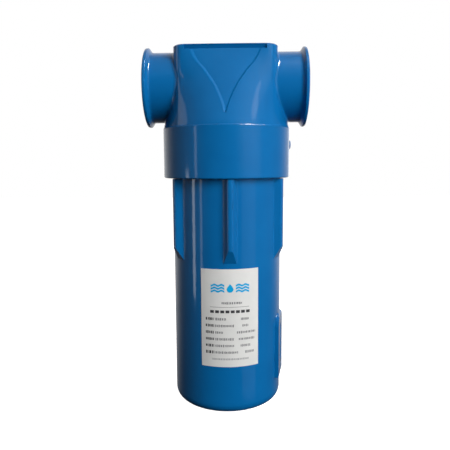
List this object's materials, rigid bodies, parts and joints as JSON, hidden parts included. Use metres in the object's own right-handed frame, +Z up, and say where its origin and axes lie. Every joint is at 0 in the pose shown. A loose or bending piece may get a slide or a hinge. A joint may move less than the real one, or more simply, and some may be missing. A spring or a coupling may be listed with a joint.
{
  "type": "compressed air filter",
  "caption": "In-line compressed-air filter housing of the cyclone water-separator type: blue cast head with two pipe ports, screw-on ribbed bowl, level glass and float drain.",
  "frame": {"origin": "centre of the inlet port's mouth", "axes": "+X from the inlet port to the outlet port along their common axis, +Z up and parallel to the bowl's axis, the label faces -Y"},
  "size_m": [0.175, 0.141, 0.4153],
  "materials": {
    "enamel": "gloss",
    "bare_aluminium": "satin",
    "zinc_steel": "satin",
    "stainless": "satin",
    "brass": "satin",
    "black_rubber": "matt",
    "label_film": "matt",
    "sight_clear": "clear",
    "black_plastic": "matt",
    "float_foam": "matt"
  },
  "bodies": {
    "head": {"head": "enamel", "lock_screw": "enamel", "outlet_tube": "bare_aluminium", "tube_o_ring": "black_rubber", "tube_circlip": "stainless", "swirl_vanes": "bare_aluminium", "tie_rod": "zinc_steel", "tube_spider": "bare_aluminium", "spider_nut": "zinc_steel", "baffle": "bare_aluminium", "baffle_washers": "zinc_steel", "baffle_nuts": "zinc_steel"},
    "bowl_seal": {"bowl_o_ring": "black_rubber"},
    "bowl": {"bowl": "enamel", "label": "label_film", "sight_gasket": "black_rubber", "sight_lens": "sight_clear", "sight_bezel": "enamel", "bezel_screws": "stainless", "drain_body": "brass", "drain_o_ring": "black_rubber", "drain_nut": "brass", "float_guide": "brass", "guide_cap": "brass", "strainer": "stainless"},
    "float": {"drain_float": "float_foam", "float_seal": "black_rubber"},
    "drain_cock": {"drain_stem": "brass", "drain_knob": "black_plastic"}
  },
  "joints": [
    {"name": "bowl_travel", "type": "slide", "parent": "head", "child": "bowl_seal", "axis": [0, 0, -1], "range_m": [0, 0.018]},
    {"name": "bowl_turn", "type": "hinge", "parent": "bowl_seal", "child": "bowl", "pos_m": [0.0875, 0, -0.0595], "axis": [0, 0, -1], "range_deg": [0, 1080]},
    {"name": "float_rise", "type": "slide", "parent": "bowl", "child": "float", "axis": [0, 0, 1], "range_m": [0, 0.012]},
    {"name": "drain_turn", "type": "hinge", "parent": "bowl", "child": "drain_cock", "pos_m": [0.0875, 0, -0.366], "axis": [0, 0, -1], "range_deg": [0, 90]}
  ],
  "couplings": [
    {"joint": "bowl_travel", "follows": "bowl_turn", "m_per_rad": 0.00095492}
  ]
}
